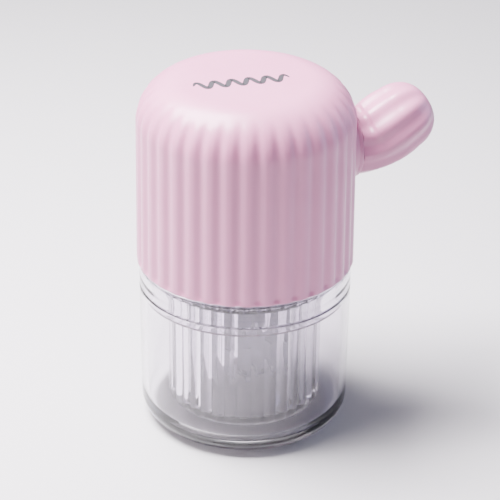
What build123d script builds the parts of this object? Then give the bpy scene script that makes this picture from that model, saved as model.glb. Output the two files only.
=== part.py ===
"""A contact lens case shaped like a potted cactus, with a hand crank that washes the lenses.

A clear double-walled tub holds the solution.  A fluted cap screws onto it and carries
a gear train: the cactus arm on its side is a crank, which turns a crown gear, a pinion
and a drive shaft, and so spins a lens frame with two hinged baskets in the tub.
Millimetres.  The origin is the centre of the tub's underside, +Z is up, and the crank's
axis runs along +X.
"""
import os
from math import cos, pi, sin

from build123d import *

# Overall form
total_height = 81.0
cap_rim_r = 24.0
cap_top_r = 23.7
shoulder_r = 9.65
cap_rim_z = 38.6
seam_z = 33.0
tub_top_r = 23.5
tub_foot_r = 23.2
tub_corner_r = 5.0
flutes = 36
flute_depth = 0.5
flute_width = 3.4
shoulder_sweep_deg = 58.0
flute_turn_deg = 1.5

# Tub
tub_wall = 1.5
tub_floor = 3.0
foot_groove_r = 17.0
foot_groove_width = 1.2
foot_groove_depth = 0.6
spigot_clearance = 0.1
spigot_depth = 2.5
cup_inner_r = 15.0
cup_wall = 1.5
cup_rib_r = 0.8
cup_rib_height = 0.4
cup_base_z = 4.2
cup_foot_r = 2.0
cup_floor_r = 1.2
rib_foot_clear = 0.6
collar_top_z = 38.2
collar_thickness = 1.8
collar_wall = 3.0
collar_slope_height = 1.4
collar_slope_out = 0.9
neck_inner_r = 16.6
neck_r = 18.6
neck_top_z = 45.0

# Screw thread between neck and cap: four starts, each a short raised bar
thread_starts = 4
thread_lead = 12.0
thread_height = 1.0
thread_root_width = 1.2
thread_crest_width = 0.8
thread_sink = 0.3
thread_sweep_deg = 66.0
neck_thread_z = 43.0
thread_phase_deg = 12.0
thread_gap = 0.3

# Cap shell and the liner that closes its gear chamber
cap_inner_r = 22.0
cap_roof = 2.2
cap_draft = 0.2
rim_round = 0.4
ledge_width = 0.8
ledge_height = 1.6
liner_rim_z = 39.4
plate_z = 46.6
plate_thickness = 2.4
gasket_inner_r = 16.8
gasket_outer_r = 18.4
gasket_seat_gap = 0.05

# Gear train
crank_z = 62.5
gear_module = 0.8
gear_teeth = 24
pinion_teeth = 12
tooth_addendum = 0.55
tooth_dedendum = 0.9
tooth_tip_width = 0.55
tooth_root_width = 1.15
gear_face_half = 1.2
gear_disc = 2.3
gear_hub_r = 4.0
gear_hub_length = 3.4
pinion_face = 4.4
shaft_r = 2.0
running_gap = 0.05
washer_thickness = 0.5
drive_shaft_foot_z = 36.6
drive_shaft_top_z = 57.0
clip_depth = 0.4
clip_thickness = 0.6
clip_r = 3.3
clip_mouth = 2.2
tooth_root_sink = 0.2

# Bushes, seal and bearing bracket
bush_r = 3.5
bush_flange_r = 4.6
bush_flange = 1.0
seal_height = 1.4
crank_bush_r = 3.2
bracket_x = 12.0
bracket_thickness = 2.4
bracket_half_width = 5.0
bracket_foot_length = 7.0
bracket_foot = 2.0
screw_r = 0.9
screw_head_r = 1.8
screw_head = 1.4
screw_x = 16.6
screw_y = 2.8
screw_depth = 1.6
screw_slot_width = 0.5
screw_slot_depth = 0.6

# Crank arm
seat_r = 7.6
seat_x = 24.6
boss_r = 5.2
boss_x = 20.6
arm_x = 24.9
elbow_x = 27.4
arm_tilt_deg = 28.5
arm_length = 9.8
arm_neck_r = 7.4
arm_mid_r = 8.1
arm_tip_r = 7.8
arm_wall = 1.6
arm_flutes = 10
arm_flute_r = 1.8
arm_flute_depth = 0.55
arm_flute_turn_deg = 5.0
arm_widest = 0.55
arm_plate_r = 5.5
arm_plate = 2.5
arm_screw_r = 1.0
arm_screw_head_r = 2.6
arm_screw_head = 1.8
arm_screw_length = 7.0

# Lens frame and its baskets
basket_z = 19.3
basket_r = 9.5
basket_wall = 1.2
basket_depth = 4.5
blade = 1.6
stem_half_width = 5.0
stem_top_z = 37.0
stem_overlap = 1.0
rail_height = 0.6
rail_width = 1.0
hub_r = 3.4
hub_top_z = 44.4
hub_skirt = 3.0
cross_pin_r = 0.75
cross_pin_z = 41.0
door_gap = 0.1
door_r = 9.3
door_rim = 1.3
door_thickness = 0.9
door_bulge = 1.1
hole_r = 0.9
hole_ring_r = 4.9
hole_ring_count = 8
hinge_x = 6.5
hinge_z = 9.6
hinge_barrel_r = 1.0
hinge_pin_r = 0.5
barrel_half_length = 1.2
lug_width = 1.4
lug_gap = 0.2
lug_reach = 2.5
slot_half_width = 1.2
slot_inset = 0.6
slot_turns_deg = (35, 145, 215, 325)
catch_half_height = 2.0
catch_depth = 2.0
catch_stand = 0.4
catch_sink = 0.6
grip_reach = 9.9
latch_half_width = 2.0
latch_gap = 0.15
latch_thickness = 0.8
latch_reach = 1.4

# Cutters run this far past what they cut
overrun = 1.0

# Worked out from the above
gear_pitch_r = gear_module * gear_teeth / 2
pinion_pitch_r = gear_module * pinion_teeth / 2
plate_top_z = plate_z + plate_thickness
basket_face_x = blade / 2 + basket_depth
thread_pitch = thread_lead / thread_starts
liner_bore_r = neck_r + thread_height + thread_gap


def turned(outline, rounds=()):
    """Turn an outline of (radius, height) points about Z, with some of its corners rounded."""
    face = make_face(Polyline(*outline, close=True))
    for corner, radius in rounds:
        vertex = face.vertices().sort_by_distance(outline[corner])[0]
        face = fillet(vertex, radius)
    return revolve(Plane.XZ * face, Axis.Z)


def ring(inner_r, outer_r, low, high):
    """A ring, or a disc where inner_r is 0, about Z."""
    disc = Circle(outer_r)
    if inner_r:
        disc = disc - Circle(inner_r)
    return Pos(0, 0, low) * extrude(disc, high - low)


def ring_x(inner_r, outer_r, low, high, height=crank_z):
    """A ring, or a disc where inner_r is 0, about an axis along +X at the given height."""
    return Pos(0, 0, height) * Rot(0, 90, 0) * ring(inner_r, outer_r, low, high)


def rod_y(radius, low, high, x, z):
    """A round rod along Y."""
    return Pos(x, low, z) * Rot(-90, 0, 0) * extrude(Circle(radius), high - low)


def block(low, high):
    """A box between two corners."""
    size = [b - a for a, b in zip(low, high)]
    return Pos(*low) * Box(*size, align=(Align.MIN, Align.MIN, Align.MIN))


def thread_bars(root_r, crest_r, mid_z, phase_deg):
    """The raised bars of a multi-start thread, from root_r to crest_r."""
    inward = crest_r < root_r
    foot_r = root_r + thread_sink if inward else root_r - thread_sink
    section = [
        (foot_r, -thread_root_width / 2),
        (root_r, -thread_root_width / 2),
        (crest_r, -thread_crest_width / 2),
        (crest_r, thread_crest_width / 2),
        (root_r, thread_root_width / 2),
        (foot_r, thread_root_width / 2),
    ]
    rise = thread_lead * thread_sweep_deg / 360
    path = Helix(thread_lead, rise, root_r)
    profile = Plane.XZ * make_face(Polyline(*section, close=True))
    bar = Pos(0, 0, mid_z - rise / 2) * sweep(profile, path, is_frenet=True)
    spacing = 360 / thread_starts
    return [Rot(0, 0, phase_deg + k * spacing) * bar for k in range(thread_starts)]


def outer_shell():
    """The smooth clear outer wall and floor of the tub."""
    inner_top = tub_top_r - tub_wall
    inner_foot = tub_foot_r - tub_wall
    outline = [
        (0, 0),
        (tub_foot_r, 0),
        (tub_top_r, seam_z),
        (inner_top, seam_z),
        (inner_foot, tub_floor),
        (0, tub_floor),
    ]
    shell = turned(outline, [(1, tub_corner_r), (4, tub_corner_r - tub_wall)])
    groove = ring(foot_groove_r - foot_groove_width, foot_groove_r, 0, foot_groove_depth)
    return shell - groove


def inner_cup():
    """The ribbed clear cup for the solution, with the collar and the threaded neck on it."""
    outer_r = cup_inner_r + cup_wall
    collar_under_z = collar_top_z - collar_thickness
    spigot_r = tub_top_r - tub_wall - spigot_clearance
    channel_r = tub_top_r - collar_wall
    outline = [
        (0, cup_base_z),
        (outer_r, cup_base_z),
        (outer_r, collar_under_z - collar_slope_height),
        (neck_inner_r + collar_slope_out, collar_under_z),
        (channel_r, collar_under_z),
        (channel_r, seam_z - spigot_depth),
        (spigot_r, seam_z - spigot_depth),
        (spigot_r, seam_z),
        (tub_top_r, seam_z),
        (tub_top_r, collar_top_z),
        (neck_r, collar_top_z),
        (neck_r, neck_top_z),
        (neck_inner_r, neck_top_z),
        (neck_inner_r, collar_under_z),
        (cup_inner_r, seam_z),
        (cup_inner_r, cup_base_z + cup_wall),
        (0, cup_base_z + cup_wall),
    ]
    cup = turned(outline, [(1, cup_foot_r), (15, cup_floor_r)])
    rib_centre = outer_r + cup_rib_height - cup_rib_r
    rib_low = cup_base_z + cup_rib_r + rib_foot_clear
    rib = Pos(rib_centre, 0, rib_low) * extrude(Circle(cup_rib_r), collar_under_z - rib_low)
    ribs = [Rot(0, 0, k * 360 / flutes) * rib for k in range(flutes)]
    bars = thread_bars(neck_r, neck_r + thread_height, neck_thread_z, thread_phase_deg)
    return cup + ribs + bars


def gasket():
    """The silicone ring between the neck's top edge and the liner's plate."""
    return ring(gasket_inner_r, gasket_outer_r, neck_top_z + gasket_seat_gap, plate_z)


def cap_flutes():
    """Cutters for one flute, along the cap's wall and over its shoulder, where it fades out."""
    cutter_r = (flute_width ** 2 / 4 + flute_depth ** 2) / (2 * flute_depth)
    clear = cutter_r - flute_depth
    centre_r = cap_top_r - shoulder_r
    centre_z = total_height - shoulder_r
    top = Vector(cap_top_r + clear, 0, centre_z)
    foot = Vector(cap_rim_r + clear, 0, cap_rim_z)
    wall = Plane(origin=top, z_dir=foot - top) * extrude(Circle(cutter_r), centre_z - cap_rim_z + overrun)
    disc = Plane.XY * Pos(shoulder_r + clear, 0, 0) * Circle(cutter_r)
    shoulder = Pos(centre_r, 0, centre_z) * revolve(disc, Axis.Y, -shoulder_sweep_deg)
    return wall, shoulder


def cap_shell():
    """The pink fluted cap, with the flat seat and the boss for the crank."""
    roof_z = total_height - cap_roof
    ledge_r = cap_inner_r - ledge_width
    outline = [
        (0, total_height),
        (cap_top_r, total_height),
        (cap_rim_r, cap_rim_z),
        (cap_inner_r, cap_rim_z),
        (cap_inner_r, plate_top_z),
        (ledge_r, plate_top_z),
        (ledge_r, plate_top_z + ledge_height),
        (cap_inner_r, plate_top_z + ledge_height + ledge_width),
        (cap_inner_r - cap_draft, roof_z),
        (0, roof_z),
    ]
    shell = turned(outline, [(1, shoulder_r), (8, shoulder_r - cap_roof), (2, rim_round)])
    for cutter in cap_flutes():
        turns = [flute_turn_deg + (k + 0.5) * 360 / flutes for k in range(flutes)]
        shell = shell - [Rot(0, 0, turn) * cutter for turn in turns]
    seat = ring_x(0, seat_r, boss_x, seat_x) - ring(0, cap_inner_r + cap_draft, cap_rim_z, total_height)
    boss = ring_x(0, boss_r, boss_x, seat_x)
    return shell + seat + boss - ring_x(0, crank_bush_r, boss_x - overrun, seat_x + overrun)


def cap_liner():
    """The threaded skirt and the plate that keep the solution out of the gear chamber."""
    outline = [
        (0, plate_z),
        (liner_bore_r, plate_z),
        (liner_bore_r, liner_rim_z),
        (cap_inner_r, liner_rim_z),
        (cap_inner_r, plate_top_z),
        (0, plate_top_z),
    ]
    liner = turned(outline)
    bar_z = neck_thread_z - thread_pitch / 2
    bars = thread_bars(liner_bore_r, liner_bore_r - thread_height, bar_z, thread_phase_deg)
    liner = liner + bars - ring(0, bush_r, plate_z - overrun, plate_top_z + overrun)
    hole = ring(0, screw_r, plate_top_z - screw_depth, plate_top_z + overrun)
    return liner - [Pos(screw_x, side * screw_y, 0) * hole for side in (-1, 1)]


def shaft_bush():
    """The flanged bush that the drive shaft turns in."""
    bore_r = shaft_r + running_gap
    body = ring(bore_r, bush_r, plate_z + seal_height, plate_top_z)
    return body + ring(bore_r, bush_flange_r, plate_top_z, plate_top_z + bush_flange)


def shaft_seal():
    """The lip seal round the drive shaft, below its bush."""
    return ring(shaft_r + running_gap, bush_r, plate_z, plate_z + seal_height)


def crank_bush():
    """The flanged bush that the crank shaft turns in, in the cap's wall."""
    bore_r = shaft_r + running_gap
    body = ring_x(bore_r, crank_bush_r, boss_x, seat_x)
    return body + ring_x(bore_r, bush_flange_r, boss_x - bush_flange, boss_x)


def bearing_bracket():
    """The bracket on the liner's plate that holds the crank shaft's inner end."""
    low = (bracket_x, -bracket_half_width, plate_top_z)
    upright = block(low, (bracket_x + bracket_thickness, bracket_half_width, crank_z))
    crown = ring_x(0, bracket_half_width, bracket_x, bracket_x + bracket_thickness)
    foot_end = (bracket_x + bracket_foot_length, bracket_half_width, plate_top_z + bracket_foot)
    bracket = upright + crown + block(low, foot_end)
    bore = ring_x(0, shaft_r + running_gap, bracket_x - overrun, bracket_x + bracket_foot_length)
    hole = ring(0, screw_r, plate_top_z - overrun, plate_top_z + bracket_foot + overrun)
    return bracket - bore - [Pos(screw_x, side * screw_y, 0) * hole for side in (-1, 1)]


def bracket_screws():
    """The two screws that hold the bracket down, as one group."""
    head_z = plate_top_z + bracket_foot
    screw = ring(0, screw_r, plate_top_z - screw_depth, head_z)
    screw = screw + ring(0, screw_head_r, head_z, head_z + screw_head)
    slot_low = (-screw_head_r, -screw_slot_width / 2, head_z + screw_head - screw_slot_depth)
    slot_high = (screw_head_r, screw_slot_width / 2, head_z + screw_head + overrun)
    screw = screw - block(slot_low, slot_high)
    return Compound([Pos(screw_x, side * screw_y, 0) * screw for side in (-1, 1)])


def arm_body(inset):
    """The crank arm's outer form, or its hollow where inset is the wall's thickness."""
    neck = arm_neck_r - inset
    mid = arm_mid_r - inset
    tip = arm_tip_r - inset
    reach = arm_length * arm_widest
    side = ThreePointArc((0, neck), (reach, mid), (arm_length, tip))
    rounded = (arm_length + tip * cos(pi / 4), tip * sin(pi / 4))
    dome = ThreePointArc((arm_length, tip), rounded, (arm_length + tip, 0))
    axis_line = Line((arm_length + tip, 0), (0, 0))
    limb = revolve(make_face(side + dome + axis_line + Line((0, 0), (0, neck))), Axis.X)
    return Pos(elbow_x, 0, crank_z) * (Rot(0, -arm_tilt_deg, 0) * limb + Sphere(neck))


def crank_arm():
    """The hollow fluted cactus arm, cut flat where it faces the cap's seat."""
    room = 40.0
    arm = arm_body(0)
    cutter_offset = arm_mid_r + arm_flute_r - arm_flute_depth
    for k in range(arm_flutes):
        turn = arm_flute_turn_deg + k * 360 / arm_flutes
        cutter = Pos(0, 0, cutter_offset) * Rot(0, 90, 0) * Cylinder(arm_flute_r, room)
        cutter = Rot(turn, 0, 0) * cutter
        arm = arm - Pos(elbow_x, 0, crank_z) * Rot(0, -arm_tilt_deg, 0) * cutter
    hollow = arm_body(arm_wall) & block((arm_x + arm_plate, -room, 0), (2 * room, room, 2 * room))
    arm = arm - hollow - ring_x(0, arm_plate_r, 0, arm_x + arm_plate)
    return arm & block((arm_x, -room, 0), (2 * room, room, 3 * room))


def arm_plate_disc():
    """The disc that closes the arm's root and takes the crank shaft."""
    return ring_x(shaft_r, arm_plate_r, arm_x, arm_x + arm_plate)


def crank_shaft():
    """The shaft from the arm to the crown gear."""
    end_x = arm_x + arm_plate
    shaft = ring_x(0, shaft_r, pinion_pitch_r + tooth_dedendum, end_x)
    return shaft - ring_x(0, arm_screw_r, end_x - arm_screw_length, end_x)


def crank_screw():
    """The screw in the end of the crank shaft that holds the arm on."""
    end_x = arm_x + arm_plate
    shank = ring_x(0, arm_screw_r, end_x - arm_screw_length, end_x)
    return shank + ring_x(0, arm_screw_head_r, end_x, end_x + arm_screw_head)


def crown_gear():
    """The face gear on the crank shaft, with radial teeth that point at the drive shaft."""
    tip_x = pinion_pitch_r - tooth_addendum
    root_x = pinion_pitch_r + tooth_dedendum
    outer_r = gear_pitch_r + gear_face_half
    back_x = root_x + gear_disc
    gear = ring_x(shaft_r, outer_r, root_x, back_x)
    gear = gear + ring_x(shaft_r, gear_hub_r, back_x, back_x + gear_hub_length)
    section = [
        (tip_x, -tooth_tip_width / 2),
        (root_x + tooth_root_sink, -tooth_root_width / 2),
        (root_x + tooth_root_sink, tooth_root_width / 2),
        (tip_x, tooth_tip_width / 2),
    ]
    tooth = extrude(make_face(Polyline(*section, close=True)), 2 * gear_face_half)
    tooth = Pos(0, 0, -outer_r) * tooth
    step = 360 / gear_teeth
    teeth = [Pos(0, 0, crank_z) * Rot(k * step, 0, 0) * tooth for k in range(gear_teeth)]
    return gear + teeth


def crank_washer():
    """The thrust washer between the crown gear and the bracket."""
    low = bracket_x - running_gap * 2 - washer_thickness
    return ring_x(shaft_r, gear_hub_r, low, low + washer_thickness)


def drive_pinion():
    """The spur pinion on the drive shaft, with a gap between teeth facing the crown gear."""
    step = 2 * pi / pinion_teeth
    root_r = pinion_pitch_r - tooth_dedendum
    tip_r = pinion_pitch_r + tooth_addendum
    corners = []
    for k in range(pinion_teeth):
        centre = (k + 0.5) * step
        for radius, width in ((root_r, -tooth_root_width), (tip_r, -tooth_tip_width),
                              (tip_r, tooth_tip_width), (root_r, tooth_root_width)):
            turn = centre + width / (2 * radius)
            corners.append((radius * cos(turn), radius * sin(turn)))
    low = plate_top_z + bush_flange + washer_thickness
    gear = extrude(make_face(Polyline(*corners, close=True)), pinion_face)
    return Pos(0, 0, low) * gear - ring(0, shaft_r, low - overrun, low + pinion_face + overrun)


def drive_washer():
    """The thrust washer that the pinion turns on."""
    low = plate_top_z + bush_flange
    return ring(shaft_r, bush_flange_r - 0.4, low, low + washer_thickness)


def drive_shaft():
    """The vertical shaft from the pinion down to the lens frame."""
    clip_low = plate_top_z + bush_flange + washer_thickness + pinion_face
    shaft = ring(0, shaft_r, drive_shaft_foot_z, drive_shaft_top_z)
    shaft = shaft - ring(shaft_r - clip_depth, shaft_r + overrun, clip_low, clip_low + clip_thickness)
    return shaft - rod_y(cross_pin_r, -shaft_r - overrun, shaft_r + overrun, 0, cross_pin_z)


def shaft_clip():
    """The open clip in the drive shaft's groove, above the pinion."""
    low = plate_top_z + bush_flange + washer_thickness + pinion_face
    clip = ring(shaft_r - clip_depth, clip_r, low, low + clip_thickness)
    mouth_low = (0, -clip_mouth / 2, low - overrun)
    return clip - block(mouth_low, (clip_r + overrun, clip_mouth / 2, low + clip_thickness + overrun))


def cross_pin():
    """The pin that holds the lens frame's hub on the drive shaft."""
    return rod_y(cross_pin_r, -hub_r, hub_r, 0, cross_pin_z)


def hole_pattern():
    """Through holes along X: one in the middle of the basket and a ring about it."""
    length = 4 * basket_r
    hole = ring_x(0, hole_r, -length / 2, length / 2, 0)
    step = 360 / hole_ring_count
    holes = [Pos(0, 0, basket_z) * hole]
    for k in range(hole_ring_count):
        holes.append(Pos(0, 0, basket_z) * Rot(k * step, 0, 0) * Pos(0, 0, hole_ring_r) * hole)
    return holes


def spanned(face, near_x, far_x, low, high):
    """A box on one face of the blade, between two distances from it and two (y, z) corners."""
    xs = sorted((face * near_x, face * far_x))
    return block((xs[0], *low), (xs[1], *high))


def lens_frame():
    """The clear frame: a blade with an open basket ring on each face, a stem and a hub."""
    inner_r = basket_r - basket_wall
    stem_low_z = basket_z + inner_r - stem_overlap
    rail_x = blade / 2 + rail_height
    frame = ring_x(0, basket_r, -blade / 2, blade / 2, basket_z)
    frame = frame + ring_x(inner_r, basket_r, -basket_face_x, basket_face_x, basket_z)
    frame = frame + block(
        (-blade / 2, -stem_half_width, stem_low_z), (blade / 2, stem_half_width, stem_top_z)
    )
    frame = frame + ring(0, hub_r, stem_top_z - hub_skirt, hub_top_z)
    for side in (-1, 1):
        ys = sorted((side * stem_half_width, side * (stem_half_width - rail_width)))
        frame = frame + block((-rail_x, ys[0], stem_low_z), (rail_x, ys[1], stem_top_z))
    for face in (-1, 1):
        frame = frame + spanned(
            face, basket_face_x - catch_depth, basket_face_x,
            (-basket_r - catch_stand, basket_z - catch_half_height),
            (-basket_r + catch_sink, basket_z + catch_half_height),
        )
        for side in (-1, 1):
            frame = frame + hinge_lug(face, side * (barrel_half_length + lug_gap + lug_width / 2))
    frame = frame - hole_pattern() - wall_slots()
    frame = frame - ring(0, shaft_r, drive_shaft_foot_z, hub_top_z + overrun)
    return frame - rod_y(cross_pin_r, -hub_r - overrun, hub_r + overrun, 0, cross_pin_z)


def wall_slots():
    """Cutters for the slots that let solution through the walls of both basket rings."""
    slots = []
    for turn in slot_turns_deg:
        for face in (-1, 1):
            slot = spanned(
                face, blade / 2 + slot_inset, basket_face_x - 2 * slot_inset,
                (0, -slot_half_width), (basket_r + overrun, slot_half_width),
            )
            slots.append(Pos(0, 0, basket_z) * Rot(turn, 0, 0) * slot)
    return slots


def hinge_lug(face, middle_y):
    """One of the frame's ears for a basket door's hinge pin."""
    half = lug_width / 2
    barrel = rod_y(hinge_barrel_r, middle_y - half, middle_y + half, face * hinge_x, hinge_z)
    arm = spanned(
        face, basket_face_x - lug_reach, hinge_x,
        (middle_y - half, hinge_z - hinge_barrel_r), (middle_y + half, hinge_z + hinge_barrel_r),
    )
    return barrel + arm - rod_y(
        hinge_pin_r, middle_y - lug_width, middle_y + lug_width, face * hinge_x, hinge_z
    )


def door_disc():
    """The domed disc of a door, before its hinge, latch and holes."""
    near_x = basket_face_x + door_gap
    far_x = near_x + door_thickness
    flat_r = door_r - door_rim
    middle_r = flat_r / 2
    sag = door_bulge * 3 / 4
    outline = (
        Line((near_x, flat_r), (near_x, door_r))
        + Line((near_x, door_r), (far_x, door_r))
        + Line((far_x, door_r), (far_x, flat_r))
        + ThreePointArc((far_x, flat_r), (far_x + sag, middle_r), (far_x + door_bulge, 0))
        + Line((far_x + door_bulge, 0), (near_x + door_bulge, 0))
        + ThreePointArc((near_x + door_bulge, 0), (near_x + sag, middle_r), (near_x, flat_r))
    )
    return Pos(0, 0, basket_z) * revolve(make_face(outline), Axis.X)


def basket_door(face):
    """A perforated domed door; face is +1 for the right-hand basket and -1 for the left."""
    near_x = basket_face_x + door_gap
    far_x = near_x + door_thickness
    half = barrel_half_length
    lug_end = half + 2 * lug_gap + lug_width
    notch_z = hinge_z + hinge_barrel_r + lug_gap
    door = door_disc() + block((near_x, -half, hinge_z), (far_x, half, notch_z))
    door = door + rod_y(hinge_barrel_r, -half, half, hinge_x, hinge_z)
    for side in (-1, 1):
        ys = sorted((side * half, side * lug_end))
        door = door - block((near_x - overrun, ys[0], 0), (hinge_x + 2 * hinge_barrel_r, ys[1], notch_z))
    grip_low = (near_x, -grip_reach, basket_z - catch_half_height)
    door = door + block(grip_low, (hinge_x, -door_r + overrun, basket_z + catch_half_height))
    latch_z = basket_z + basket_r + latch_gap
    tab_low = (near_x - latch_reach, -latch_half_width, latch_z)
    door = door + block(tab_low, (far_x, latch_half_width, latch_z + latch_thickness))
    root_low = (near_x, -latch_half_width, basket_z + door_r - overrun)
    door = door + block(root_low, (far_x, latch_half_width, latch_z + latch_thickness / 2))
    door = door - hole_pattern()
    door = door - rod_y(hinge_pin_r + running_gap, -half - overrun, half + overrun, hinge_x, hinge_z)
    return door if face > 0 else mirror(door, Plane.YZ)


def hinge_pin(face):
    """The pin of one basket door."""
    half = barrel_half_length + lug_gap + lug_width
    return rod_y(hinge_pin_r, -half, half, face * hinge_x, hinge_z)


parts = {
    "outer_shell": outer_shell(),
    "inner_cup": inner_cup(),
    "gasket": gasket(),
    "cap_shell": cap_shell(),
    "cap_liner": cap_liner(),
    "shaft_bush": shaft_bush(),
    "shaft_seal": shaft_seal(),
    "crank_bush": crank_bush(),
    "bearing_bracket": bearing_bracket(),
    "bracket_screws": bracket_screws(),
    "crank_arm": crank_arm(),
    "crank_arm_plate": arm_plate_disc(),
    "crank_shaft": crank_shaft(),
    "crank_screw": crank_screw(),
    "crown_gear": crown_gear(),
    "crank_washer": crank_washer(),
    "drive_pinion": drive_pinion(),
    "drive_washer": drive_washer(),
    "drive_shaft": drive_shaft(),
    "shaft_clip": shaft_clip(),
    "cross_pin": cross_pin(),
    "lens_frame": lens_frame(),
    "right_basket_door": basket_door(1),
    "left_basket_door": basket_door(-1),
    "right_hinge_pin": hinge_pin(1),
    "left_hinge_pin": hinge_pin(-1),
}

os.makedirs("parts", exist_ok=True)
for name, shape in parts.items():
    export_step(shape, f"parts/{name}.step")
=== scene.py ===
"""The looks of the hand-cranked contact lens case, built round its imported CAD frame.

The cap, the crank arm, the tub's outer wall and the ribbed cup are rebuilt as fine meshes inside
the CAD's box, with soft flutes, ribs and rounded edges.  The lens frame, its doors, the gear train
and the small fittings stay as CAD nodes with better materials.  Lengths are in metres.
"""
import math

import bmesh
import bpy
from mathutils import Matrix, Vector


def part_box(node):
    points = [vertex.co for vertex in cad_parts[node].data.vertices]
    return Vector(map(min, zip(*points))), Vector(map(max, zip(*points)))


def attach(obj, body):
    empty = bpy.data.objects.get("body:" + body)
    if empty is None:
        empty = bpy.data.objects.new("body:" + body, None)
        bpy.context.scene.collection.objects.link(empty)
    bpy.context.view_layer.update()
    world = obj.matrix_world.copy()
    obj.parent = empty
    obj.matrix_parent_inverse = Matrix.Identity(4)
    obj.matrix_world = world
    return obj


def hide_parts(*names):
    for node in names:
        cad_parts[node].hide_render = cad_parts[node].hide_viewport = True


MM = 0.001
TAU = 2 * math.pi

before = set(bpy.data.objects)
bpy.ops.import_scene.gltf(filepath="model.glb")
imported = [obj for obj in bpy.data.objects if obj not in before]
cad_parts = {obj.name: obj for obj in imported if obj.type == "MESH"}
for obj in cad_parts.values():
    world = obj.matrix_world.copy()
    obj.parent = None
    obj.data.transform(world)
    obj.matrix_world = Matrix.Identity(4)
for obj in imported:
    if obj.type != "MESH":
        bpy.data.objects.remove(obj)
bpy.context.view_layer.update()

# Places and radii read from the frame
foot_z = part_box("outer_shell")[0].z
seam_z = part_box("outer_shell")[1].z
tub_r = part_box("outer_shell")[1].y
cup_base_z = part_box("inner_cup")[0].z
neck_top_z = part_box("inner_cup")[1].z
cap_rim_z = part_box("cap_shell")[0].z
cap_top_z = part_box("cap_shell")[1].z
cap_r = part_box("cap_shell")[1].y
seat_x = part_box("cap_shell")[1].x
arm_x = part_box("crank_arm")[0].x

# Tub
tub_taper = 0.3 * MM
tub_wall = 1.5 * MM
tub_floor = 3.0 * MM
tub_corner_r = 5.0 * MM
skin_gap = 0.05 * MM
cup_inner_r = 15.0 * MM
cup_wall = 1.5 * MM
rib_height = 0.6 * MM
collar_gap = 0.15 * MM
collar_thickness = 1.8 * MM
collar_wall = 3.0 * MM
neck_inner_r = 16.6 * MM
neck_r = 18.6 * MM
spigot_depth = 2.5 * MM
thread_lead = 12.0 * MM
thread_height = 1.0 * MM
thread_z = 43.0 * MM
thread_sweep = math.radians(66)
thread_phase = math.radians(12)
thread_starts = 4
edge_r = 0.25 * MM
cup_outer_r = cup_inner_r + cup_wall + rib_height
collar_top = cap_rim_z - collar_gap

# Cap
flutes = 36
flute_depth = 0.50 * MM
flute_turn = math.radians(1.5)
cap_taper = 0.3 * MM
shoulder_r = 9.65 * MM
cap_inner_r = 22.0 * MM
cap_roof = 2.2 * MM
seat_r = 7.6 * MM
flute_fade_start, flute_fade_end = 12, 66    # degrees up the shoulder
flute_sharpness = 1.4

# Crank arm
crank_z = 62.5 * MM
elbow_x = 28.5 * MM
arm_tilt = math.radians(30.5)
arm_length = 8.5 * MM
arm_neck_r = 7.4 * MM
arm_mid_r = 8.15 * MM
arm_tip_r = 7.9 * MM
arm_flutes = 10
arm_flute_depth = 0.5 * MM
arm_gap = 0.15 * MM
tip_bluntness = 0.93
arm_flute_turn = math.radians(5)
arm_plate_r = 5.5 * MM
tip_fullness = 0.88
tip_fade_start, tip_fade_end = 15, 72        # degrees round the tip
crease_run = 0.8 * MM
bend_run = 4.2 * MM


# ---------------------------------------------------------------- materials

# Noise scales (cells per metre), bump heights, and the band that most of a noise falls in
mottle_scale, gloss_scale, grain_scale = 60, 220, 1400
flow_scale, smear_scale = 90, 260
steel_tone_scale, turning_scale = 300, 3000
grain_height, ripple_height, turning_height = 0.002 * MM, 0.02 * MM, 0.003 * MM
noise_low, noise_high = 0.3, 0.7
gloss_spread = 0.05
opaque_ior, clear_ior = 1.5, 1.49


class Nodes:
    """A small helper for writing a node material from its nodes and links."""

    def __init__(self, name):
        self.material = bpy.data.materials.new(name)
        self.material.use_nodes = True
        self.tree = self.material.node_tree
        self.shader = self.tree.nodes["Principled BSDF"]
        self.coords = self.add("ShaderNodeTexCoord").outputs["Object"]

    def add(self, kind):
        return self.tree.nodes.new(kind)

    def link(self, source, target):
        self.tree.links.new(source, target)

    def noise(self, scale, detail=3.0, stretch=None):
        """Noise with features about 1/scale metres across, stretched along an axis if asked."""
        source = self.coords
        if stretch:
            mapping = self.add("ShaderNodeMapping")
            mapping.inputs["Scale"].default_value = stretch
            self.link(source, mapping.inputs["Vector"])
            source = mapping.outputs["Vector"]
        noise = self.add("ShaderNodeTexNoise")
        noise.inputs["Scale"].default_value = scale
        noise.inputs["Detail"].default_value = detail
        self.link(source, noise.inputs["Vector"])
        return noise.outputs["Fac"]

    def between(self, factor, low, high):
        """A number that runs from low to high across the noise's band."""
        ramp = self.add("ShaderNodeMapRange")
        ramp.inputs["From Min"].default_value = noise_low
        ramp.inputs["From Max"].default_value = noise_high
        ramp.inputs["To Min"].default_value = low
        ramp.inputs["To Max"].default_value = high
        self.link(factor, ramp.inputs["Value"])
        return ramp.outputs["Result"]

    def tint(self, factor, low, high):
        """A colour that runs from low to high across the noise's band."""
        ramp = self.add("ShaderNodeValToRGB")
        ramp.color_ramp.elements[0].position = noise_low
        ramp.color_ramp.elements[0].color = (*low, 1)
        ramp.color_ramp.elements[1].position = noise_high
        ramp.color_ramp.elements[1].color = (*high, 1)
        self.link(factor, ramp.inputs["Fac"])
        return ramp.outputs["Color"]

    def bump(self, height, distance, strength=0.5):
        node = self.add("ShaderNodeBump")
        node.inputs["Strength"].default_value = strength
        node.inputs["Distance"].default_value = distance
        self.link(height, node.inputs["Height"])
        self.link(node.outputs["Normal"], self.shader.inputs["Normal"])

    def set(self, **values):
        """Sets the shader's own sockets, written with _ for a space."""
        for key, value in values.items():
            self.shader.inputs[key.replace("_", " ")].default_value = value


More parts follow.
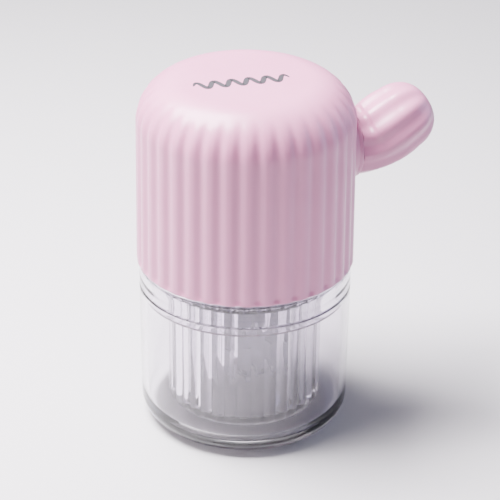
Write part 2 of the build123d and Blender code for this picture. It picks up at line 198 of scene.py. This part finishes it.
def moulded_plastic(name, low, high, roughness, subsurface=0.0):
    """An opaque moulded plastic with faint mottling and a fine mould texture."""
    nodes = Nodes(name)
    mottle = nodes.noise(mottle_scale)
    grain = nodes.noise(grain_scale, 2.0)
    nodes.link(nodes.tint(mottle, low, high), nodes.shader.inputs["Base Color"])
    rough = nodes.between(nodes.noise(gloss_scale), roughness - 0.04, roughness + gloss_spread)
    nodes.link(rough, nodes.shader.inputs["Roughness"])
    nodes.bump(grain, grain_height)
    nodes.set(IOR=opaque_ior, Coat_Weight=0.08, Coat_Roughness=0.22)
    if subsurface:
        nodes.set(Subsurface_Weight=subsurface, Subsurface_Scale=1.5 * MM)
        nodes.shader.inputs["Subsurface Radius"].default_value = (1.0, 0.55, 0.65)
    return nodes.material


def clear_plastic(name, colour, roughness, haze=0.0):
    """A clear moulded plastic, with the faint flow ripple of a moulding and a little haze."""
    nodes = Nodes(name)
    flow = nodes.noise(flow_scale, 1.5, stretch=(1.0, 1.0, 0.35))
    smear = nodes.noise(smear_scale, 4.0)
    rough = nodes.between(smear, roughness, roughness + gloss_spread)
    paler = tuple(min(1, c + 0.03) for c in colour)
    nodes.link(rough, nodes.shader.inputs["Roughness"])
    nodes.link(nodes.tint(flow, colour, paler), nodes.shader.inputs["Base Color"])
    nodes.bump(flow, ripple_height, 0.35)
    nodes.set(IOR=clear_ior, Transmission_Weight=1.0 - haze)
    return nodes.material


def turned_steel(name):
    """Stainless steel with fine turning marks."""
    nodes = Nodes(name)
    marks = nodes.noise(turning_scale, 2.0, stretch=(0.2, 1.0, 1.0))
    tone = nodes.tint(nodes.noise(steel_tone_scale), (0.50, 0.51, 0.53), (0.62, 0.62, 0.64))
    nodes.link(tone, nodes.shader.inputs["Base Color"])
    nodes.link(nodes.between(marks, 0.22, 0.38), nodes.shader.inputs["Roughness"])
    nodes.bump(marks, turning_height)
    nodes.set(Metallic=1.0)
    return nodes.material


pink = moulded_plastic("pink_plastic", (0.52, 0.19, 0.335), (0.55, 0.21, 0.36), 0.36, subsurface=0.12)
white = moulded_plastic("white_plastic", (0.72, 0.69, 0.71), (0.80, 0.77, 0.79), 0.42)
acetal = moulded_plastic("acetal", (0.74, 0.72, 0.66), (0.80, 0.78, 0.73), 0.34, subsurface=0.1)
silicone = moulded_plastic("silicone", (0.60, 0.58, 0.62), (0.68, 0.66, 0.70), 0.55, subsurface=0.3)
steel = turned_steel("steel")
shell_clear = clear_plastic("shell_clear", (0.90, 0.87, 0.92), 0.0)
cup_clear = clear_plastic("cup_clear", (0.86, 0.82, 0.89), 0.02)
frame_clear = clear_plastic("frame_clear", (0.78, 0.80, 0.88), 0.08, haze=0.50)
ink = moulded_plastic("grey_ink", (0.035, 0.033, 0.038), (0.055, 0.052, 0.060), 0.35)


# ---------------------------------------------------------------- mesh tools

def finish_piece(mesh, name, material, body, nodes=(), crease=35):
    """Makes the piece from a bmesh: smooth but for creases, on its body, for its CAD nodes."""
    bmesh.ops.recalc_face_normals(mesh, faces=mesh.faces)
    limit = math.radians(crease)
    for face in mesh.faces:
        face.smooth = True
    for edge in mesh.edges:
        edge.smooth = len(edge.link_faces) == 2 and edge.calc_face_angle() < limit
    data = bpy.data.meshes.new(name)
    mesh.to_mesh(data)
    mesh.free()
    piece = bpy.data.objects.new(name, data)
    bpy.context.scene.collection.objects.link(piece)
    data.materials.append(material)
    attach(piece, body)
    if nodes:
        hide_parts(*nodes)


def skin(mesh, rings, closed=False):
    """Joins rings of points with quads; a ring of one point is a pole.  Gives the rings' vertices."""
    layers = [[mesh.verts.new(p) for p in ring] for ring in rings]
    pairs = list(zip(layers, layers[1:]))
    if closed:
        pairs.append((layers[-1], layers[0]))
    for low, high in pairs:
        count = max(len(low), len(high))
        for i in range(count):
            j = (i + 1) % count
            if len(low) == 1:
                mesh.faces.new((low[0], high[j], high[i]))
            elif len(high) == 1:
                mesh.faces.new((low[i], low[j], high[0]))
            else:
                mesh.faces.new((low[i], low[j], high[j], high[i]))
    return layers


def rounded(corners, step, closed=True):
    """Points round an outline of (x, y, corner radius) corners, no more than step apart."""
    count = len(corners)
    points = []
    for k, (x, y, radius) in enumerate(corners):
        here = Vector((x, y))
        ends = not closed and k in (0, count - 1)
        if ends or not radius:
            points.append(here)
            continue
        before = (Vector(corners[k - 1][:2]) - here).normalized()
        after = (Vector(corners[(k + 1) % count][:2]) - here).normalized()
        half = before.angle(after) / 2
        reach = radius / math.tan(half)
        centre = here + (before + after).normalized() * (radius / math.sin(half))
        start = here + before * reach - centre
        turn = (math.pi - 2 * half) * (1 if before.cross(after) < 0 else -1)
        parts = max(4, int(abs(turn) * radius / step) + 1)
        for i in range(parts + 1):
            a = turn * i / parts
            spun = Vector((start.x * math.cos(a) - start.y * math.sin(a),
                           start.x * math.sin(a) + start.y * math.cos(a)))
            points.append(centre + spun)
    dense = []
    last = len(points) if closed else len(points) - 1
    for i in range(last):
        p, q = points[i], points[(i + 1) % len(points)]
        parts = max(1, int((q - p).length / step))
        dense += [p.lerp(q, j / parts) for j in range(parts)]
    if not closed:
        dense.append(points[-1])
    return dense


def lathe(outline, segments, wave=None, closed=True):
    """Rings about Z for an outline of (radius, height), moved inward by wave(point, angle)."""
    count = len(outline)
    rings = []
    for k, point in enumerate(outline):
        on_axis = point.x < 1e-7
        if on_axis:
            rings.append([Vector((0, 0, point.y))])
            continue
        ahead = outline[(k + 1) % count] if closed or k < count - 1 else point
        behind = outline[k - 1] if closed or k > 0 else point
        along = (ahead - behind).normalized()
        outward = Vector((along.y, -along.x))
        ring = []
        for i in range(segments):
            angle = TAU * i / segments
            depth = wave(point, angle) if wave else 0
            moved = point - outward * depth
            ring.append(Vector((moved.x * math.cos(angle), moved.x * math.sin(angle), moved.y)))
        rings.append(ring)
    return rings


def fade(value, start, end):
    """1 before start, 0 after end and smooth between."""
    t = min(1, max(0, (value - start) / (end - start)))
    return 1 - t * t * (3 - 2 * t)


# ---------------------------------------------------------------- the tub

def make_outer_shell():
    """The smooth clear outer wall and floor."""
    top = seam_z - skin_gap
    inner_r = tub_r - tub_wall
    corners = [    # radius, height, corner radius
        (0, foot_z, 0),
        (tub_r - tub_taper, foot_z, tub_corner_r),
        (tub_r, top, edge_r),
        (inner_r, top, edge_r),
        (inner_r - tub_taper, foot_z + tub_floor, tub_corner_r - tub_wall),
        (0, foot_z + tub_floor, 0),
    ]
    step, segments = 0.9 * MM, 256
    outline = rounded(corners, step, closed=False)
    mesh = bmesh.new()
    skin(mesh, lathe(outline, segments, closed=False))
    finish_piece(mesh, "outer_shell_clear", shell_clear, "tub", ["outer_shell"])


def cup_wave(point, angle):
    """Ribs on the cup's outside, below the collar and fading on its rounded foot."""
    band_inner, band_outer = cup_outer_r - 2.2 * MM, cup_outer_r + 0.5 * MM
    bore_r, bore_z = cup_inner_r + 0.2 * MM, cup_base_z + 2.5 * MM
    off_the_band = point.x < band_inner or point.x > band_outer
    on_the_bore = point.x < bore_r and point.y > bore_z
    if off_the_band or on_the_bore or point.y > collar_top:
        return 0
    foot_run = 1.2 * MM
    foot = 1 - fade(point.y, cup_base_z, cup_base_z + foot_run)
    return foot * rib_height * (1 - abs(math.cos(flutes * angle / 2)))


def make_inner_cup():
    """The ribbed cup with the collar below the cap's rim and the neck."""
    collar_under = collar_top - collar_thickness
    spigot_gap = 0.1 * MM
    spigot_r = tub_r - tub_wall - spigot_gap
    channel_r = tub_r - collar_wall
    corners = [    # radius, height, corner radius
        (0, cup_base_z, 0),
        (cup_outer_r, cup_base_z, 2.0 * MM),
        (cup_outer_r, collar_under, 0.5 * MM),
        (channel_r, collar_under, 0.5 * MM),
        (channel_r, seam_z - spigot_depth, edge_r),
        (spigot_r, seam_z - spigot_depth, edge_r),
        (spigot_r, seam_z, 0.15 * MM),
        (tub_r, seam_z, edge_r),
        (tub_r, collar_top, 0.4 * MM),
        (neck_r, collar_top, 0.3 * MM),
        (neck_r, neck_top_z, 0.4 * MM),
        (neck_inner_r, neck_top_z, 0.4 * MM),
        (neck_inner_r, collar_under, 1.0 * MM),
        (cup_inner_r, seam_z, 1.0 * MM),
        (cup_inner_r, cup_base_z + cup_wall, 1.2 * MM),
        (0, cup_base_z + cup_wall, 0),
    ]
    step, segments = 0.8 * MM, flutes * 16
    outline = rounded(corners, step, closed=False)
    mesh = bmesh.new()
    skin(mesh, lathe(outline, segments, wave=cup_wave, closed=False))
    finish_piece(mesh, "inner_cup_clear", cup_clear, "tub", ["inner_cup"])


def make_neck_thread():
    """The neck's short raised bars, one for each start of the thread, tapered at both ends."""
    steps = 40
    end_power, end_size = 6, 0.02
    thin_half, thick_gain = 0.25 * MM, 0.35 * MM
    shoulder_height, shoulder_width, crest_width = 0.75, 0.75, 0.45
    rise = thread_lead * thread_sweep / TAU
    foot_r = neck_r - thread_height * 0.1
    mesh = bmesh.new()
    for start in range(thread_starts):
        rings = []
        for i in range(steps + 1):
            t = i / steps
            size = math.sqrt(max(0.0, 1 - abs(2 * t - 1) ** end_power))
            height = thread_height * max(size, end_size)
            crest, flat = neck_r + height, neck_r + height * shoulder_height
            half = thin_half + thick_gain * size
            angle = thread_phase + TAU * start / thread_starts + thread_sweep * t
            z = thread_z - rise / 2 + rise * t
            under = [(foot_r, half), (flat, half * shoulder_width), (crest, half * crest_width)]
            section = [(r, -dz) for r, dz in under] + under[::-1]
            rings.append([Vector((r * math.cos(angle), r * math.sin(angle), z + dz)) for r, dz in section])
        layers = skin(mesh, rings)
        mesh.faces.new(layers[0])
        mesh.faces.new(layers[-1])
    finish_piece(mesh, "neck_thread", cup_clear, "tub", crease=50)


# ---------------------------------------------------------------- the cap

def cap_wave(point, angle):
    """Flutes up the cap's wall and over its shoulder, shallow at the rim and gone at the top."""
    centre = Vector((cap_r - cap_taper - shoulder_r, cap_top_z - shoulder_r))
    inside_r = cap_inner_r + 0.6 * MM
    inside_shoulder_r = shoulder_r - 0.5 * MM
    rim_start, rim_end, rim_loss = cap_rim_z + 0.3 * MM, cap_rim_z + 1.0 * MM, 0.8
    if point.y < centre.y:
        if point.x < inside_r:
            return 0
        weight = 1 - rim_loss * fade(point.y, rim_start, rim_end)
    else:
        if point.y < cap_top_z - cap_roof and (point - centre).length < inside_shoulder_r:
            return 0
        lift = math.atan2(point.y - centre.y, max(point.x - centre.x, 0))
        weight = fade(math.degrees(lift), flute_fade_start, flute_fade_end)
    valley = (1 - math.cos(flutes * (angle - flute_turn))) / 2
    return weight * flute_depth * valley ** flute_sharpness


def make_cap():
    """The fluted shell, with its own inner wall and roof."""
    print_room = 0.04 * MM
    top = cap_top_z - print_room
    corners = [    # radius, height, corner radius
        (0, top, 0),
        (cap_r - cap_taper, top, shoulder_r),
        (cap_r, cap_rim_z, 0.35 * MM),
        (cap_inner_r, cap_rim_z, 0.3 * MM),
        (cap_inner_r, top - cap_roof, shoulder_r - cap_roof),
        (0, top - cap_roof, 0),
    ]
    step, segments = 0.6 * MM, flutes * 16
    outline = rounded(corners, step, closed=False)
    outline.reverse()
    mesh = bmesh.new()
    skin(mesh, lathe(outline, segments, wave=cap_wave, closed=False))
    finish_piece(mesh, "cap_shell_fluted", pink, "cap", ["cap_shell"])


def make_crank_seat():
    """The round seat on the cap's side that the arm turns against."""
    inner_r = 2.3 * MM
    wall_x = cap_inner_r + 0.3 * MM
    flare, flare_run = 0.5 * MM, 1.3 * MM
    corners = [    # radius, place along the crank's axis, corner radius
        (inner_r, wall_x, 0),
        (seat_r + flare, wall_x, 0),
        (seat_r, wall_x + flare_run, 0.4 * MM),
        (seat_r, seat_x, 0.3 * MM),
        (inner_r, seat_x, 0.15 * MM),
    ]
    step, segments = 0.4 * MM, 128
    mesh = bmesh.new()
    rings = lathe(rounded(corners, step), segments)
    turn = Matrix.Translation((0, 0, crank_z)) @ Matrix.Rotation(math.pi / 2, 4, "Y")
    skin(mesh, [[turn @ p for p in ring] for ring in rings], closed=True)
    finish_piece(mesh, "crank_seat", pink, "cap", ["cap_shell"])


def make_decal():
    """A plain printed wave on the cap's top."""
    mesh = bmesh.new()
    length, height, waves = 21.0 * MM, 1.5 * MM, 5.5
    stroke_half, end_power, end_size = 0.62 * MM, 8, 0.02
    z_low, z_high = cap_top_z - 0.06 * MM, cap_top_z - 0.015 * MM
    turn = Matrix.Translation((-1.6 * MM, -1.3 * MM, 0)) @ Matrix.Rotation(math.radians(-5), 4, "Z")
    steps = 220
    rings = []
    for i in range(steps + 1):
        t = i / steps
        x = (t - 0.5) * length
        y = height * math.sin(TAU * waves * t)
        slope = TAU * waves / length * height * math.cos(TAU * waves * t)
        across = Vector((-slope, 1)).normalized()
        half = stroke_half * math.sqrt(max(end_size, 1 - abs(2 * t - 1) ** end_power))
        left = Vector((x, y)) + across * half
        right = Vector((x, y)) - across * half
        ring = ((left, z_low), (right, z_low), (right, z_high), (left, z_high))
        rings.append([turn @ Vector((*p, z)) for p, z in ring])
    layers = skin(mesh, rings)
    mesh.faces.new(layers[0])
    mesh.faces.new(layers[-1])
    finish_piece(mesh, "printed_wave", ink, "cap")


# ---------------------------------------------------------------- the crank arm

arm_root_x = arm_x - arm_gap
arm_elbow = Vector((elbow_x, 0, crank_z))
arm_along = Vector((math.cos(arm_tilt), 0, math.sin(arm_tilt)))
arm_up = Vector((-math.sin(arm_tilt), 0, math.cos(arm_tilt)))
arm_side = Vector((0, -1, 0))


def arm_line(angle):
    """One line of points along the arm, from its flat root over the folded elbow to the tip."""
    flute = (1 + math.cos(arm_flutes * (angle - arm_flute_turn))) / 2 * arm_flute_depth

    def on_neck(x):
        r = arm_neck_r - flute
        return Vector((x, -r * math.sin(angle), crank_z + r * math.cos(angle)))

    def on_limb(s):
        if s > arm_length:
            lift = (s - arm_length) / arm_tip_r
            cut = flute * fade(math.degrees(lift), tip_fade_start, tip_fade_end)
            r = (arm_tip_r - cut) * math.cos(lift) ** tip_fullness
            forward = arm_length + (arm_tip_r * tip_bluntness - cut) * math.sin(lift)
        else:
            t = max(0, s) / arm_length
            swell = (arm_mid_r - (arm_neck_r + arm_tip_r) / 2) * 4 * t * (1 - t)
            r = arm_neck_r + (arm_tip_r - arm_neck_r) * t + swell - flute
            forward = s
        spoke = arm_up * math.cos(angle) + arm_side * math.sin(angle)
        return arm_elbow + arm_along * forward + spoke * r

    mitre = (arm_neck_r - flute) * math.cos(angle) * math.tan(arm_tilt / 2)
    mitre_x = elbow_x - mitre
    neck_run = mitre_x - arm_root_x
    softness = crease_run + bend_run * ((1 - math.cos(angle)) / 2) ** 2
    round_off = min(softness, neck_run * 0.8)
    neck_steps, limb_steps, tip_steps = 8, 26, 20
    points = []
    for i in range(neck_steps):
        points.append(on_neck(arm_root_x + (neck_run - round_off) * i / neck_steps))
    first, corner, last = on_neck(mitre_x - round_off), on_neck(mitre_x), on_limb(mitre + round_off)
    for i in range(neck_steps):
        t = i / neck_steps
        points.append(first * (1 - t) ** 2 + corner * 2 * t * (1 - t) + last * t * t)
    start = mitre + round_off
    for i in range(limb_steps):
        points.append(on_limb(start + (arm_length - start) * i / limb_steps))
    for i in range(tip_steps):
        points.append(on_limb(arm_length + arm_tip_r * (math.pi / 2) * i / tip_steps))
    return points


def make_arm():
    """The fluted arm, with a shallow round hollow at its root for the plate."""
    lines = arm_flutes * 28
    hollow_depth, hollow_chamfer = 2.5 * MM, 0.15 * MM
    hollow = [(arm_plate_r, arm_x + hollow_depth), (arm_plate_r, arm_x),
              (arm_plate_r + hollow_chamfer, arm_root_x)]
    angles = [TAU * k / lines for k in range(lines)]
    rings = [[Vector((arm_x + hollow_depth, 0, crank_z))]]
    for r, x in hollow:
        rings.append([Vector((x, -r * math.sin(a), crank_z + r * math.cos(a))) for a in angles])
    rings += [list(ring) for ring in zip(*(arm_line(a) for a in angles))]
    rings.append([arm_elbow + arm_along * (arm_length + arm_tip_r * tip_bluntness)])
    mesh = bmesh.new()
    skin(mesh, rings)
    finish_piece(mesh, "crank_arm_fluted", pink, "crank", ["crank_arm"])


# ---------------------------------------------------------------- carried-over CAD nodes

finishes = {
    white: ("cap_liner", "bearing_bracket"),
    pink: ("crank_arm_plate",),
    acetal: ("crown_gear", "drive_pinion", "shaft_bush", "crank_bush"),
    silicone: ("gasket", "shaft_seal"),
    steel: ("bracket_screws", "crank_shaft", "crank_screw", "crank_washer", "drive_washer",
            "drive_shaft", "shaft_clip", "cross_pin", "right_hinge_pin", "left_hinge_pin"),
    frame_clear: ("lens_frame", "right_basket_door", "left_basket_door"),
}


def refinish_nodes():
    """Gives each carried-over CAD node its material."""
    for material, names in finishes.items():
        for name in names:
            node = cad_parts[name]
            if not node.material_slots:
                node.data.materials.append(material)
            for place in node.material_slots:
                place.material = material


# ---------------------------------------------------------------- stage, lights and camera

def make_stage():
    """A plain, flat, pale floor."""
    nodes = Nodes("pale_floor")
    patch_scale = 4
    tone = nodes.tint(nodes.noise(patch_scale), (0.58, 0.575, 0.59), (0.60, 0.595, 0.61))
    nodes.link(tone, nodes.shader.inputs["Base Color"])
    nodes.set(Roughness=0.6)
    mesh = bmesh.new()
    reach = 3.0
    floor_z = foot_z - 0.02 * MM
    corners = [(-reach, -reach), (reach, -reach), (reach, reach), (-reach, reach)]
    mesh.faces.new([mesh.verts.new((x, y, floor_z)) for x, y in corners])
    data = bpy.data.meshes.new("floor")
    mesh.to_mesh(data)
    mesh.free()
    floor = bpy.data.objects.new("floor", data)
    data.materials.append(nodes.material)
    bpy.context.scene.collection.objects.link(floor)


def area_light(name, place, target, size, power, colour):
    """A square soft light that faces the target."""
    data = bpy.data.lights.new(name, "AREA")
    data.size = size
    data.energy = power
    data.color = colour
    light = bpy.data.objects.new(name, data)
    light.location = place
    light.rotation_euler = (Vector(target) - Vector(place)).to_track_quat("-Z", "Y").to_euler()
    bpy.context.scene.collection.objects.link(light)


def make_lights():
    """A near key from above, a little to the left and behind, with gentle fills on both sides."""
    middle = (0, 0, 45 * MM)
    area_light("key", (-0.11, 0.06, 0.32), middle, 0.20, 9.6, (1.0, 0.95, 0.99))
    area_light("left_fill", (-0.62, 0.02, 0.20), middle, 0.40, 1.8, (1.0, 0.88, 0.90))
    area_light("right_fill", (0.50, -0.05, 0.12), middle, 0.40, 1.8, (0.64, 0.68, 1.0))
    world = bpy.data.worlds.new("studio")
    bpy.context.scene.world = world
    world.use_nodes = True
    background = world.node_tree.nodes["Background"]
    background.inputs["Color"].default_value = (0.95, 0.95, 1.0, 1)
    background.inputs["Strength"].default_value = 0.28


def make_camera():
    """A long lens from the front, 20 degrees to the left of the crank's side and 27 above."""
    distance = 475 * MM
    pivot_z = 45 * MM
    aim_across, aim_z = 1.062 * MM, 39.788 * MM
    elevation, roll = 0.4769, 0.0103         # radians
    azimuth = math.radians(-20)
    toward = Vector((math.sin(azimuth), -math.cos(azimuth), 0))
    across = Vector((math.cos(azimuth), math.sin(azimuth), 0))
    height = distance * math.sin(elevation) + pivot_z
    place = toward * distance * math.cos(elevation) + Vector((0, 0, height))
    target = across * aim_across + Vector((0, 0, aim_z))
    back = (place - target).normalized()
    right = Vector((0, 0, 1)).cross(back).normalized()
    up = back.cross(right)
    right, up = (right * math.cos(roll) + up * math.sin(roll),
                 up * math.cos(roll) - right * math.sin(roll))
    data = bpy.data.cameras.new("camera")
    data.lens = 155.4
    data.sensor_width = 36.0
    data.clip_start = 0.01
    camera = bpy.data.objects.new("camera", data)
    turn = Matrix((right, up, back)).transposed().to_4x4()
    camera.matrix_world = Matrix.Translation(place) @ turn
    bpy.context.scene.collection.objects.link(camera)
    bpy.context.scene.camera = camera


make_outer_shell()
make_inner_cup()
make_neck_thread()
make_cap()
make_crank_seat()
make_decal()
make_arm()
refinish_nodes()
make_stage()
make_lights()
make_camera()
